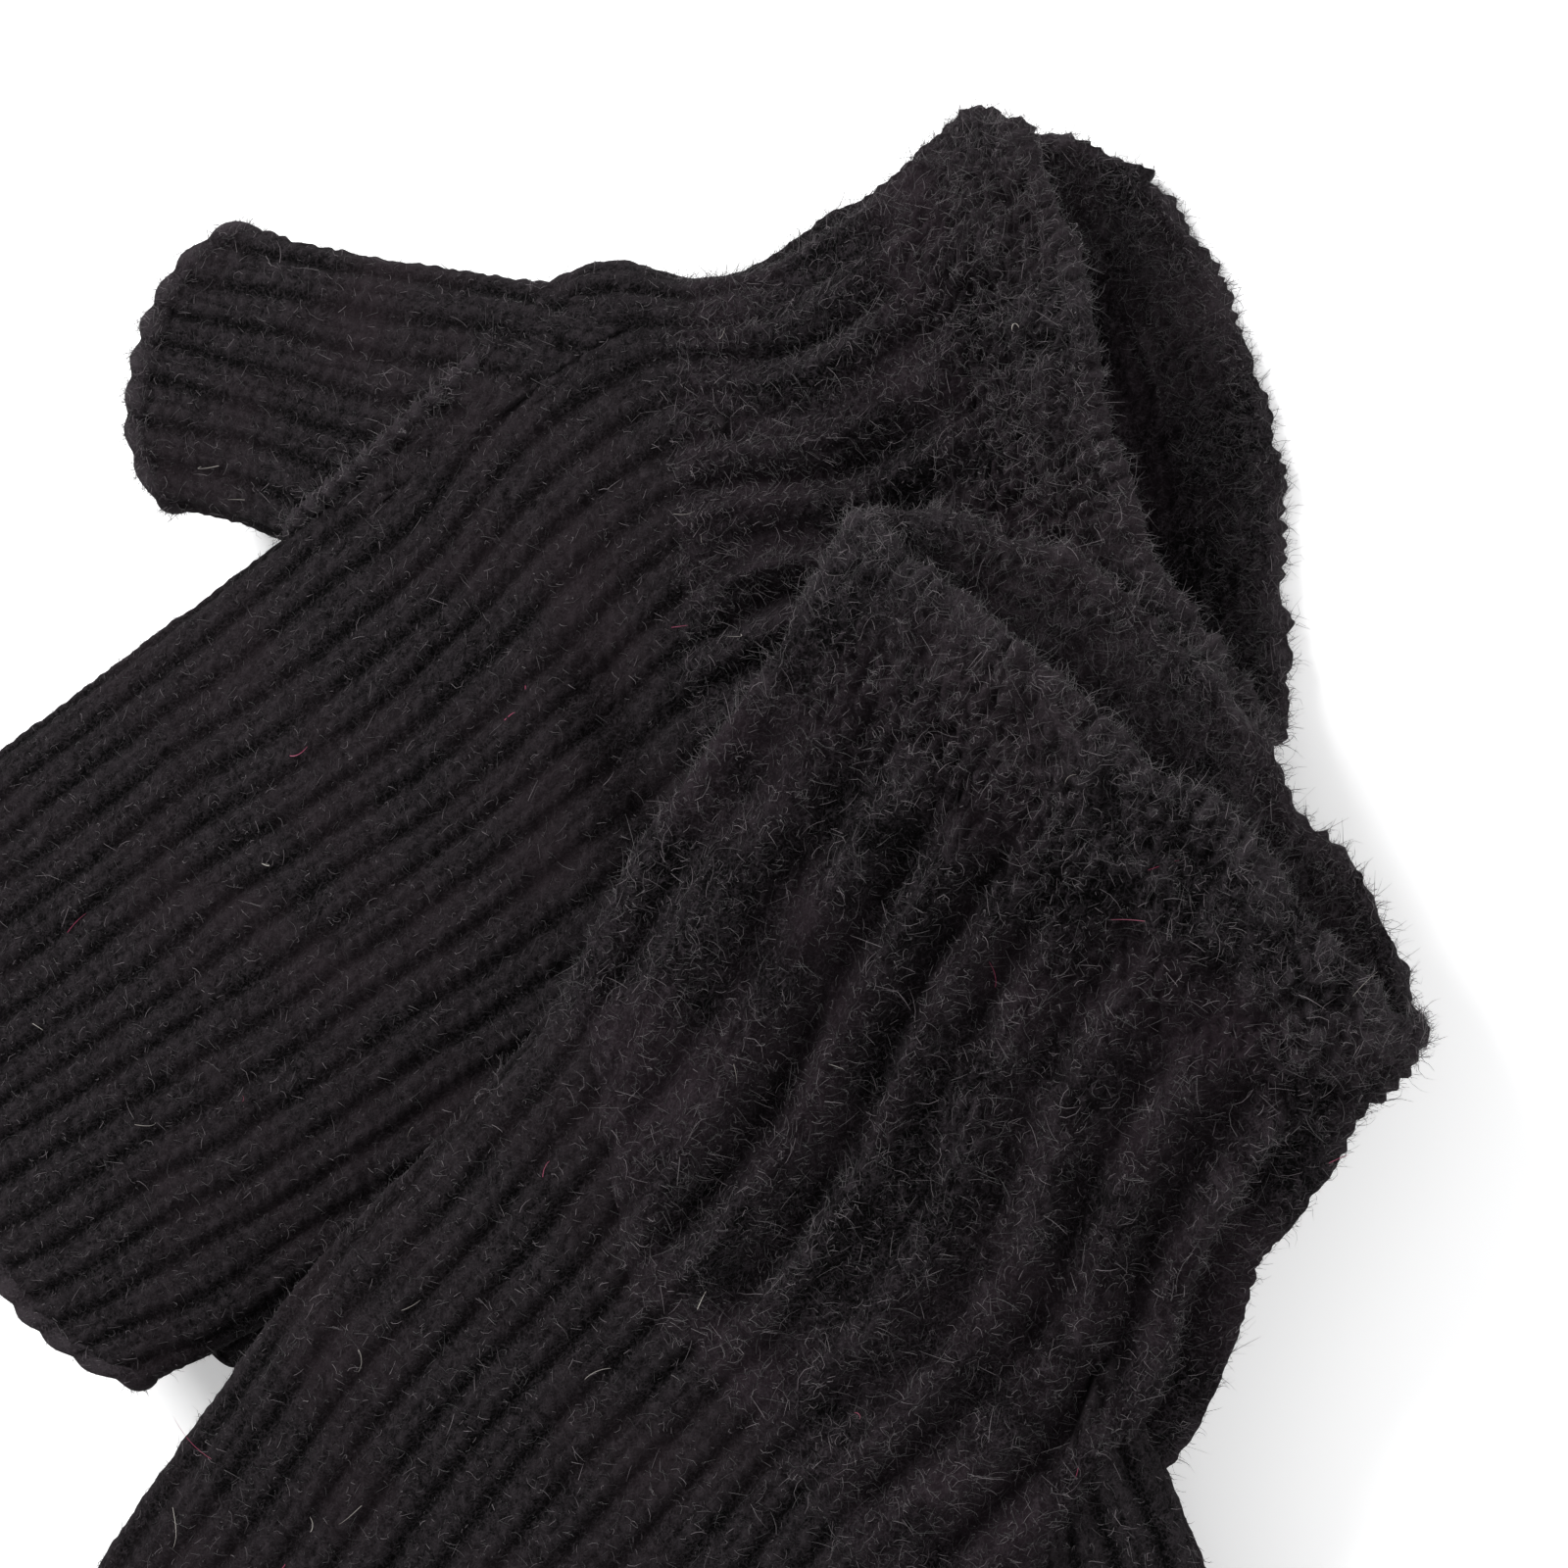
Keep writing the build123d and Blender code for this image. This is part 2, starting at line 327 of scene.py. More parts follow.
# ---------------------------------------------------------------- materials
class Nodes:
    """A material and short ways to add nodes to it."""

    def __init__(self, name):
        self.mat = bpy.data.materials.new(name)
        self.mat.use_nodes = True
        self.tree = self.mat.node_tree

    def feed(self, node, inputs):
        """Give each named input its value, or a link if the value is another node's output."""
        for key, value in inputs.items():
            if isinstance(value, bpy.types.NodeSocket):
                self.tree.links.new(value, node.inputs[key])
            else:
                node.inputs[key].default_value = value
        return node

    def add(self, kind, inputs=None, **settings):
        node = self.tree.nodes.new("ShaderNode" + kind)
        for key, value in settings.items():
            setattr(node, key, value)
        return self.feed(node, inputs or {})

    def math(self, operation, *values):
        return self.add("Math", dict(enumerate(values)), operation=operation).outputs[0]

    def noise(self, scale, detail, **more):
        place = self.add("TexCoord").outputs["Object"]
        return self.add("TexNoise", {"Vector": place, "Scale": scale, "Detail": detail, **more}).outputs["Fac"]

    def ramp(self, factor, dark, light, low=0.0, high=1.0):
        node = self.add("ValToRGB", {"Fac": factor})
        first, last = node.color_ramp.elements
        first.position, first.color = low, (*dark, 1)
        last.position, last.color = high, (*light, 1)
        return node.outputs["Color"]

    def span(self, value, low, high):
        return self.add("MapRange", {"Value": value, "To Min": low, "To Max": high}).outputs["Result"]

    def bump(self, height, strength, distance):
        return self.add("Bump", {"Height": height, "Strength": strength, "Distance": distance}).outputs["Normal"]

    def shade(self, inputs):
        self.feed(self.tree.nodes["Principled BSDF"], inputs)
        return self.mat


def wool(name, groove_shade, ridge, tint, sheen, bump, fine):
    """Hairy wool yarn: grooves painted dark as shade, paler fibre ends, unevenly dyed, soft sheen."""
    n = Nodes(name)
    place = n.add("TexCoord").outputs["Object"]
    # the relief attribute is the tone: low values get the groove_shade colour, painted shade in the grooves
    relief = n.add("Attribute", attribute_name="relief").outputs["Fac"]
    cloud = n.noise(55, 4)
    hair = n.noise(fine, 6, Roughness=0.72, Distortion=1.4)
    strand = n.add("TexVoronoi", {"Vector": place, "Scale": fine * 0.62}, feature="DISTANCE_TO_EDGE")

    # level lines of a noise are thin curly threads
    threads = None
    for k, (scale, width) in enumerate(((fine * 0.55, 0.020), (fine * 0.9, 0.026), (fine * 0.36, 0.012))):
        field = n.add("TexNoise", {"Vector": place, "W": 3.7 * k + 1, "Scale": scale, "Detail": 1.0,
                                   "Distortion": 0.6}, noise_dimensions="4D").outputs["Fac"]
        level = n.math("COMPARE", field, 0.5, width)
        threads = level if threads is None else n.math("ADD", threads, level)

    flecks = n.math("MULTIPLY_ADD", hair, 1.7, -0.82)
    lines = n.math("MULTIPLY_ADD", threads, 0.36, -0.09)
    height = n.math("MULTIPLY_ADD", relief, 0.80, n.math("ADD", flecks, lines))
    share = n.add("MapRange", {"Value": cloud, "From Min": 0.42, "From Max": 0.72, "To Max": 0.45})
    # base colour: painted groove shade from the relief tone, mixed with uneven dye tints
    dye_and_groove_shade = n.add("MixRGB", {"Fac": share.outputs["Result"], "Color1": n.ramp(height, groove_shade, ridge, 0.05, 0.95),
                           "Color2": (*tint, 1)}, blend_type="MIX")
    tall = n.math("MULTIPLY_ADD", threads, 0.35, n.math("MULTIPLY_ADD", strand.outputs["Distance"], 0.5, hair))
    return n.shade({"Base Color": dye_and_groove_shade.outputs["Color"], "Roughness": n.span(hair, 0.78, 1.0),
                    "Sheen Weight": sheen, "Sheen Roughness": 0.45, "Sheen Tint": (0.62, 0.57, 0.60, 1),
                    "Specular IOR Level": 0.03, "Normal": n.bump(tall, bump, 0.0006)})


def fibre_material(name, dark, light):
    """Loose fibres, each with its own tone between dark and light; fibres inside the cuff are painted darker as shade.
    """
    n = Nodes(name)
    relief = n.add("Attribute", attribute_name="relief").outputs["Fac"]
    return n.shade({"Base Color": n.ramp(relief, dark, light), "Roughness": 0.7, "Specular IOR Level": 0.1,
                    "Sheen Weight": 0.2})


def horn():
    """Dark resin button with faint streaks and scratches."""
    n = Nodes("button resin")
    place = n.add("TexCoord").outputs["Object"]
    streak = n.add("TexWave", {"Vector": place, "Scale": 120, "Distortion": 9, "Detail": 4}).outputs["Fac"]
    wear = n.noise(900, 6)
    return n.shade({"Base Color": n.ramp(streak, (0.008, 0.007, 0.007), (0.032, 0.024, 0.020)),
                    "Roughness": n.span(wear, 0.25, 0.55), "Normal": n.bump(wear, 0.15, 0.0002)})


#                                                   groove_shade (painted shade in the grooves), ridge, tint, sheen,
#                                                   bump, fineness
M_RIB = wool("wool rib", (0.0008, 0.0007, 0.0008), (0.0260, 0.0222, 0.0248), (0.0235, 0.0165, 0.0196),
             0.018, 0.85, 1500)
M_CUFF = wool("wool cuff", (0.0008, 0.0007, 0.0008), (0.0330, 0.0275, 0.0315), (0.0320, 0.0215, 0.0275),
              0.018, 1.0, 1300)
M_EDGE = wool("wool edge", (0.0016, 0.0014, 0.0016), (0.0400, 0.0340, 0.0385), (0.0350, 0.0250, 0.0300),
              0.025, 0.9, 1500)
M_FIBRE = fibre_material("loose fibre", (0.004, 0.0036, 0.004), (0.16, 0.138, 0.15))
M_PINK = fibre_material("pink fibre", (0.20, 0.02, 0.06), (0.50, 0.07, 0.17))
M_PALE = fibre_material("pale fibre", (0.14, 0.125, 0.115), (0.50, 0.47, 0.43))
M_THREAD = wool("sewing thread", (0.006, 0.006, 0.007), (0.04, 0.04, 0.042), (0.03, 0.03, 0.03), 0.15, 0.6, 3500)
M_BUTTON = horn()


def finish_piece(obj, body, mat, slot, *nodes):
    """Put the material on, hang the piece on its body, and hide the CAD nodes it replaces."""
    obj.data.materials.clear()
    obj.data.materials.append(mat)
    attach(obj, body)
    if nodes:
        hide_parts(*nodes)


# ---------------------------------------------------------------- one mitten
def back(x):
    """Height of the back of the hand, which slopes towards the cuff."""
    return BACK_Z - SLOPE * x


# Points (y, x) across the cuff: near and far are how far the upper and lower lip of the mouth reach,
# wrist is where the cuff starts. bulge (y, height) is how proud the cuff stands of the hand there.
LOOKS = {
    "right": dict(seed=11, folds=24, fold_depth=2.6, merge=0.8, gusset=1.0, pinch=0.0, spread=0.0,
                  near=[(-46, 171.0), (-30, 168.8), (-5, 171.0), (9, 176.2), (31, 184), (36, 183.5), (40, 181),
                        (43, 177), (46, 171)],
                  far=[(-46, 170.5), (-38, 172.6), (-23, 179.9), (-5, 187.7), (13, 192), (28, 191.5), (35, 187),
                       (40, 182), (43, 177), (46, 171)],
                  wrist=[(-50, 98), (-30, 102), (0, 112), (20, 122), (50, 136)], bulge=[(-50, 0.2), (50, 0.2)]),
    "left": dict(seed=47, folds=19, fold_depth=4.3, merge=0.6, gusset=0.42, pinch=8.0, spread=3.2,
                 near=[(-48, 186.5), (-31, 187.2), (-10, 187), (0, 185), (12, 184.3), (24, 182.4), (43, 176.4),
                       (46, 175)],
                 far=[(-48, 188.5), (-24, 195), (-2, 194), (11, 189.7), (27, 184.2), (33, 181.3), (46, 174)],
                 wrist=[(-50, 124), (-34, 118), (-12, 98), (12, 93), (30, 88), (50, 78)],
                 bulge=[(-50, 0.3), (-36, 0.8), (-20, 3.2), (10, 4.6), (50, 3.2)]),
}


def body_form(look):
    """Surface of hand and cuff together, before any knit relief."""
    x = STATIONS
    plain = curve(x, (-12, 40.0), (0, 41.5), (40, 43.0), (72, 44.0), (100, 43.0), (120, 42.0), (142, 42.5), (160, 42.5),
                  (180, 43.5))
    wide = curve(x, (-12, 40.0), (0, 41.5), (40, 43.5), (72, 45.5), (90, 47.2), (104, 52.0), (115, 55.0), (124, 55.2),
                 (130, 53.5), (138, 45.0), (146, 40.4), (160, 40.6), (180, 42.6))
    plus = plain + (wide - plain) * look["gusset"]
    minus = curve(x, (-12, 40.5), (0, 42.0), (14, 43.2), (70, 43.2), (115, 40.5), (135, 41.5), (160, 43.5), (180, 45.0))
    minus = minus + look["spread"] * (smooth(-30, 30, x) - smooth(60, 112, x))
    low = curve(x, (0, back(0) + 1.6), (12, back(12) + 1.2), (100, back(100) + 1.1), (115, back(115) + 1.0), (145, 1.6),
                (180, 1.3))
    high = curve(x, (0, back(0) + 8.6), (60, back(60) + 10.9), (100, back(100) + 12.7), (125, 22.2), (150, 23.2),
                 (180, 25.6))
    top = curve(x, (0, 3.4), (60, 3.6), (80, 5.0), (115, 5.0), (135, 3.0), (180, 2.15))
    under = curve(x, (0, 3.4), (110, 3.4), (140, 3.0), (180, 2.9))

    def shear(p):
        w = smooth(120, 182, p[..., 0])
        t = smooth(1, 25, p[..., 2])
        reach = np.interp(p[..., 1], *zip(*look["near"])) * t + np.interp(p[..., 1], *zip(*look["far"])) * (1 - t)
        return w * (reach - LENGTH)

    return Form(plus, minus, low, high, top, under, shear)


def finger_end(y):
    """Where the finger edge lies: it bows out in the middle."""
    return -12.5 + 12.5 * np.clip(np.abs(y) / 43, 0, 1.1) ** 3.6


def columns(m):
    """Arc fractions of m points round a section."""
    return np.arange(m) / m


def y_of(form, x, s):
    """Y of the section at station x."""
    return form.at(np.full((1, len(s)), float(x)), s)[0, :, 1]


def edge_cord(name, side, body, path, radius, bead, seed, closed=True, around=10, ply=1.0):
    """Beaded cord of yarn along a path of points, each bead one stitch."""
    path = np.asarray(path, float)
    if closed:
        path = np.vstack([path, path[:1]])
    run = np.concatenate([[0], np.cumsum(np.linalg.norm(np.diff(path, axis=0), axis=1))])
    total = run[-1]
    n = int(total / 0.30)
    d = np.linspace(0, total, n, endpoint=not closed)
    centre = np.stack([np.interp(d, run, path[:, k]) for k in range(3)], axis=1)
    for _ in range(3):
        if closed:
            centre = (np.roll(centre, 1, axis=0) + 2 * centre + np.roll(centre, -1, axis=0)) / 4
        else:
            centre[1:-1] = (centre[:-2] + 2 * centre[1:-1] + centre[2:]) / 4
    if closed:
        tangent = unit(np.roll(centre, -1, axis=0) - np.roll(centre, 1, axis=0))
    else:
        tangent = unit(np.gradient(centre, axis=0))
    up = np.array([0.0, 0.0, 1.0])
    sidev = unit(np.cross(tangent, up) + 1e-6)
    upv = unit(np.cross(sidev, tangent))
    count = max(int(round(total / bead)), 1)
    phase = d / total * count
    swell = 0.78 + 0.30 * np.abs(np.sin(pi * phase)) + 0.12 * (noise(phase * 0.8, 0.3, seed) - 0.5)
    a = np.arange(around) / around * 2 * pi
    twist = 0.18 * np.cos(2 * (a[None, :] + 2 * pi * phase[:, None] * ply))
    r = radius * (swell[:, None] + twist)
    if not closed:
        cap = np.minimum(d, total - d)
        r = r * np.sqrt(np.clip(cap / radius, 0.02, 1))[:, None]
    rows = centre[:, None, :] + r[..., None] * (np.cos(a)[None, :, None] * sidev[:, None, :]
                                                + np.sin(a)[None, :, None] * upv[:, None, :])
    # tone dark between the beads: painted shade
    tones = np.broadcast_to(0.25 + 0.75 * np.abs(np.sin(pi * phase))[:, None], r.shape)
    obj = loft_mesh(name, rows, side, tones, close_rows=closed)
    grids.append((side, body, "edge", rows, unit(rows - centre[:, None, :]), np.array(tones)))
    return obj


def roll(along, axis, fat, first, steps, bumps):
    """Rolled edge: rows of points round the bound-off stitches, and their tones, painted darker between the bumps as
    shade.
    """
    rows = []
    for k in range(steps):
        a = first + 2 * pi * k / steps
        base = along(a)
        around = np.roll(base, -1, axis=1) - np.roll(base, 1, axis=1)
        out = outward(unit(np.cross(np.broadcast_to(axis, around.shape), around)), base)
        rows.append((base + out * (0.1 + (fat * sin(a))[None, :, None]))[0])
    return np.array(rows), np.array([0.3 + 0.7 * bumps] * steps)


def build_mitten(side):
    """Hand, finger edge, cuff and cuff rim, then thumb, cap and fastening."""
    look = LOOKS[side]
    seed = look["seed"]
    body = side + "_mitten"
    form = body_form(look)
    wrist_y, wrist_x = zip(*look["wrist"])

    # hand: fine ribs from the finger opening to under the cuff
    m = 336
    s = columns(m)
    y0, y1 = y_of(form, 2, s), y_of(form, 115, s)
    start, end = finger_end(y0) + 2.2, np.interp(y1, wrist_y, wrist_x) + 7
    rows = 250
    u = np.linspace(0, 1, rows)[:, None]
    x = start + (end - start) * u
    outer = form.at(x, s)
    relief, tone = ribbed(x, s[None, :], RIBS, seed, 1.45)
    proud = np.interp(y1, *zip(*look["bulge"]))
    past = x - (end - 7)[None, :]
    relief = relief - (0.9 + 0.3 * proud)[None, :] * smooth(-1, 5, past) - 0.35 * proud[None, :] * smooth(-14, 0, past)
    if side == "right":     # crease pressed into the palm beside the wrist
        y, palm = outer[..., 1], outer[..., 2] > 16
        lean = 0.16 * (y + 12)
        crease = np.exp(-((x - 99 - lean) / 4.0) ** 2) * smooth(-34, -22, y) * (1 - smooth(2, 14, y)) * palm
        swell = np.exp(-((x - 91 - lean) / 5.5) ** 2) * smooth(-36, -24, y) * (1 - smooth(4, 16, y)) * palm
        relief = relief - 2.4 * crease + 0.8 * swell
        # the crease is also painted darker in the tone: painted shade
        tone = tone * (1 - 0.6 * crease)
    sag = 1.1 * (noise(x / 34, s[None, :] * 5, seed + 21, wrap=5) - 0.5)
    relief = relief + sag
    xi = start + (end - start) * np.linspace(0, 1, 36)[:, None]
    inner = form.at(xi, s)
    r_in, t_in = ribbed(xi, s[None, :] + 0.5 / RIBS, RIBS, seed + 2, 0.7)
    inner = inner - outward(normals(inner), inner) * (1.3 + r_in)[..., None]
    # the inside wall's tone is dimmed to 0.6: painted shade inside the hand
    obj, _ = knit_shell(side + "_hand_knit", side, body, outer, relief, tone, inner, t_in * 0.6, "rib")
    finish_piece(obj, body, M_RIB, "rib_knit", side + "_hand")

    # bound-off edge round the finger opening: a scalloped roll, one bump a rib
    se = columns(408)
    ye = y_of(form, 1, se)
    fe = finger_end(ye)
    bumps = (0.5 + 0.5 * np.cos(2 * pi * se * RIBS)) ** 0.6
    unequal = 0.55 + 0.9 * noise(se * RIBS, 0.5, seed + 23, wrap=RIBS)
    fat = 1.1 + 0.25 * bumps * unequal

    def along(turned):
        x = fe + 1.5 - 0.55 * bumps * unequal - fat * 1.35 * cos(turned)
        return form.at(x[None, :], se)

    rows_e, tones = roll(along, np.array([1.0, 0, 0]), fat * 1.05, -0.5 * pi, 15, bumps)
    obj = loft_mesh(side + "_finger_bind_off", rows_e, side, tones, flip=True)
    finish_piece(obj, body, M_EDGE, "edge_yarn", side + "_finger_edge")
    grids.append((side, body, "brim", rows_e, unit(rows_e - rows_e.mean(axis=0, keepdims=True)), tones))

    # cuff: felted plain knit in soft folds, bulging over the wrist
    m = 416
    s = columns(m)
    y1 = y_of(form, 120, s)
    cuff_start = np.interp(y1, wrist_y, wrist_x) - 2.0
    mouth = LENGTH + 2.6 * (noise(0.5, s * 25, seed + 32, wrap=25) - 0.5) \
        + 4.2 * (noise(1.5, s * 11, seed + 31, wrap=11) - 0.5) + 0.8 * (noise(2.5, s * 60, seed + 34, wrap=60) - 0.5)
    rim_at = mouth - 9.0
    folds = look["folds"]

    proud = np.interp(y1, *zip(*look["bulge"]))

    def cuff_relief(x):
        """Relief and tone from the wrist, where the hand's ribs run on, to the rim; the tone is painted darker in the
        fold troughs as shade.
        """
        c, t = stockinette(x, s[None, :], WALES, seed + 40, 1.0)
        rib, rib_tone = ribbed(x, s[None, :], RIBS, seed, 1.45)
        from_wrist = x - cuff_start[None, :] - 2.0
        to_rim = rim_at[None, :] - x
        uneven = 14 * (noise(x / 12, s[None, :] * 17, seed + 49) - 0.5)
        keep = look["merge"] * (1 - smooth(6, 46, from_wrist + uneven))
        ph = s[None, :] * folds + 0.5 * (noise(x / 40, s[None, :] * 9, seed + 51, wrap=9) - 0.5)
        wave = 1 - np.abs(np.sin(pi * ph + 0.25 * np.sin(2 * pi * ph))) ** 1.6
        wave = wave * 0.6 + 0.4 * (0.5 + 0.5 * np.cos(2 * pi * ph))
        wave = 1 - (1 - wave) ** 1.5
        size = 0.45 + 0.95 * noise(x / 45, s[None, :] * folds / 2, seed + 53, wrap=folds // 2)
        fade = (0.12 + 0.88 * smooth(2, 16, to_rim)) * smooth(-1, 12, from_wrist)
        low = (0.5 + 0.5 * np.cos(2 * pi * s[None, :] * RIBS)) ** 0.8
        calm = 1 - 0.65 * smooth(0.50, 0.56, s) * (1 - smooth(0.94, 1.0, s))
        fold = look["fold_depth"] * (wave - 0.6) * size * fade * calm[None, :]
        fold = fold + 0.55 * (low - 0.5) * fade * (1 - keep)
        bulge = proud[None, :] * (np.clip((from_wrist + 2) / 8, 0, 1) ** 0.5) * (1 - smooth(14, 38, from_wrist)) \
            * (0.45 + 0.9 * noise(0.2, s[None, :] * 11, seed + 57, wrap=11)) * calm[None, :]
        tuck = -(1.0 + 0.4 * proud[None, :]) * (1 - smooth(-2, 3, from_wrist))
        lift = 1.3 * (noise(x / 20, s[None, :] * 7, seed + 59, wrap=7) - 0.5) * smooth(0, 12, from_wrist)
        lift = lift + 0.9 * (noise(x / 7, s[None, :] * 21, seed + 60, wrap=21) - 0.5) * smooth(0, 8, from_wrist)
        start = 1 - smooth(0, 5, from_wrist)
        sag = 1.1 * (noise(x / 34, s[None, :] * 5, seed + 21, wrap=5) - 0.5) * (1 - smooth(0, 20, from_wrist))
        mixed = np.maximum(keep, start)
        band = 1 + 0.9 * (1 - smooth(4, 14, to_rim))
        body_h = rib * mixed + (c * 1.15 * band + 0.25) * (1 - mixed)
        # tone darker in the troughs between folds: painted shade
        tone = t * (0.95 - 0.85 * (1 - wave) * np.clip(size, 0, 1.1) * fade)
        tone = np.clip(rib_tone * mixed * 0.9 + tone * (1 - mixed), 0, 1)
        return body_h + fold + bulge + tuck + lift + sag, tone

    rows = 150
    u = np.linspace(0, 1, rows)[:, None]
    stop = rim_at + 0.6
    x = cuff_start + (stop - cuff_start) * u
    outer = form.at(x, s)
    relief, tone = cuff_relief(x)
    xi = np.concatenate([np.linspace(0, 0.55, 14), np.linspace(0.58, 1, 50)])[:, None]
    xi = cuff_start + (stop - cuff_start) * xi

    def lining(xi):
        """Inside of the cuff and its tone, painted darker as shade further into the mouth."""
        inner = form.at(xi, s)
        n_in = outward(normals(inner), inner)
        r, t = stockinette(xi + 1.2, s[None, :] + 0.5 / WALES, WALES, seed + 61, 0.8)
        fold, _ = cuff_relief(xi)
        # painted shade: the lining is darker further into the mouth, and 0.85 darker overall
        mouth_shade = 0.18 + 0.82 * smooth(-30, 2, xi - mouth[None, :])
        return inner + n_in * (np.clip(fold, -1.5, 2.0) * 0.35 - 3.0 - r * 0.7)[..., None], t * 0.85 * mouth_shade

    inner, t_in = lining(xi)
    obj, _ = knit_shell(side + "_cuff_knit", side, body, outer, relief, tone, inner, t_in, "cuff")
    finish_piece(obj, body, M_CUFF, "cuff_knit", side + "_cuff")

    # cast-on edge: softer band ending in a wavy rolled lip
    u = np.linspace(0, 1, 26)[:, None]
    x = (rim_at - 0.4) + (mouth - rim_at + 0.4) * u
    outer = form.at(x, s)
    relief, tone = cuff_relief(x)
    lip = 0.5 * smooth(0.55, 1, u) + 0.12
    scallop = 0.9 * (noise(0.5, s[None, :] * 21, seed + 33, wrap=21) - 0.5) * smooth(0.4, 1, u)
    relief = relief + lip + scallop
    tone = np.clip(tone + 0.25 * smooth(0.5, 1, u), 0, 1)
    inner, t_in = lining(x)
    ahead = unit(outer[-1] - outer[-4])
    obj, skin = knit_shell(side + "_cuff_cast_on", side, body, outer, relief, tone, inner, t_in, "cuff", ahead)
    finish_piece(obj, body, M_EDGE, "cuff_knit", side + "_cuff_rim")
    lip = np.concatenate([skin[-3:], rounded_edge(skin[-1], inner[-1], ahead), inner[::-1][:3]])
    n_lip = unit(lip - (skin[-1] + inner[-1])[None] / 2 + ahead[None] * 0.4)
    grids.append((side, body, "lip", lip, n_lip, np.ones(lip.shape[:2])))
    grids.append((side, body, "inside", inner, -outward(normals(inner), inner), t_in))

    build_thumb(side, look)
    build_cap(side, look)
    build_fastener(side)


def build_thumb(side, look):
    """Open thumb tube, its bound-off edge and the seam where it meets the palm."""
    seed, body = look["seed"], side + "_mitten"
    across = np.array([-THUMB_DIR[1], THUMB_DIR[0], 0.0])
    z0 = back(THUMB_TIP[0] + 25) + 6.0
    tip = np.array([THUMB_TIP[0], THUMB_TIP[1], z0])
    m = 176
    s = columns(m)

    def ring(q):
        """Points of the thumb at distances q (rows by columns) back from its open end."""
        out = np.empty((q.shape[0], m, 3))
        for k in range(q.shape[0]):
            d = float(q[k].mean())
            a = 18.6 + 0.4 * smooth(0, 4, 4 - d) + 1.6 * smooth(12, 40, d)
            b = 5.3 + 0.5 * smooth(6, 30, d)
            py, pz = by_arc(a * power(np.cos(SECTION), 3.0), b * power(np.sin(SECTION), 3.0), s)
            py = py + look["pinch"] * smooth(14, 48, d) * np.clip(-py / 18, 0, 1)
            out[k] = tip[None, :] - THUMB_DIR[None, :] * q[k][:, None] + across[None, :] * py[:, None] \
                + np.array([0, 0, 1.0])[None, :] * pz[:, None]
        return out

    first = ring(np.zeros((1, m)))[0]
    offset = (first - tip) @ across
    slant = 6.3 - 7.2 * (np.abs(offset) / 19.0) ** 2.6 + 0.03 * offset
    reach = 47 - offset
    q0 = 2.0 - slant
    q = q0 + (reach - q0) * np.linspace(0, 1, 120)[:, None]
    outer = ring(q)
    relief, tone = ribbed(q, s[None, :], THUMB_RIBS, seed + 71, 1.25)
    inner_q = q0 + (reach - q0) * np.linspace(0, 1, 24)[:, None]
    inner = ring(inner_q)
    r_in, t_in = ribbed(inner_q, s[None, :] + 0.5 / THUMB_RIBS, THUMB_RIBS, seed + 72, 0.6)
    inner = inner - outward(normals(inner), inner) * (1.2 + r_in)[..., None]
    # the inside wall's tone is dimmed to 0.6: painted shade inside the thumb
    obj, _ = knit_shell(side + "_thumb_knit", side, body, outer, relief, tone, inner, t_in * 0.6, "rib")
    finish_piece(obj, body, M_RIB, "rib_knit", side + "_thumb")

    # bound-off edge of the thumb
    bumps = (0.5 + 0.5 * np.cos(2 * pi * s * THUMB_RIBS)) ** 0.6
    unequal = 0.55 + 0.9 * noise(s * THUMB_RIBS, 0.5, seed + 73, wrap=THUMB_RIBS)
    fat = 1.15 + 0.28 * bumps * unequal

    def along(turned):
        return ring((q0 - 0.6 - 0.5 * bumps * unequal - fat * 1.3 * cos(turned))[None, :])

    rows_e, tones = roll(along, -THUMB_DIR, fat, 0.0, 14, bumps)
    obj = loft_mesh(side + "_thumb_bind_off", rows_e, side, tones)
    finish_piece(obj, body, M_EDGE, "edge_yarn", side + "_thumb_edge")
    grids.append((side, body, "edge", rows_e, unit(rows_e - rows_e.mean(axis=0, keepdims=True)), tones))

    # raised seam where the thumb is picked up from the palm
    top = z0 + 6.6
    line = [(117.5, 52.2, z0 + 2.0), (112, 51.0, top - 2.2), (105, 49.7, top - 0.6), (97, 48.3, top),
            (90, 47.2, top), (81, 46.5, top - 0.2), (75, 46.3, top - 1.4), (72.3, 46.6, z0 + 2), (72.0, 46.8, z0 - 2),
            (75, 46.3, z0 - 5.0), (81, 46.5, z0 - 6.3), (90, 47.2, z0 - 6.6), (97, 48.3, z0 - 6.7),
            (105, 49.7, z0 - 6.2), (112, 51.0, z0 - 4.8), (117.5, 52.2, z0 - 2.0), (119, 52.4, z0)]
    if look["gusset"] < 1:
        line = [(72 + (px - 72) * 0.5, 46.4 + (py - 46.4) * 0.2, pz) for px, py, pz in line]
    obj = edge_cord(side + "_thumb_pick_up_seam", side, body, line, 1.2, 3.2, seed + 75)
    finish_piece(obj, body, M_EDGE, "edge_yarn", side + "_thumb_seam")


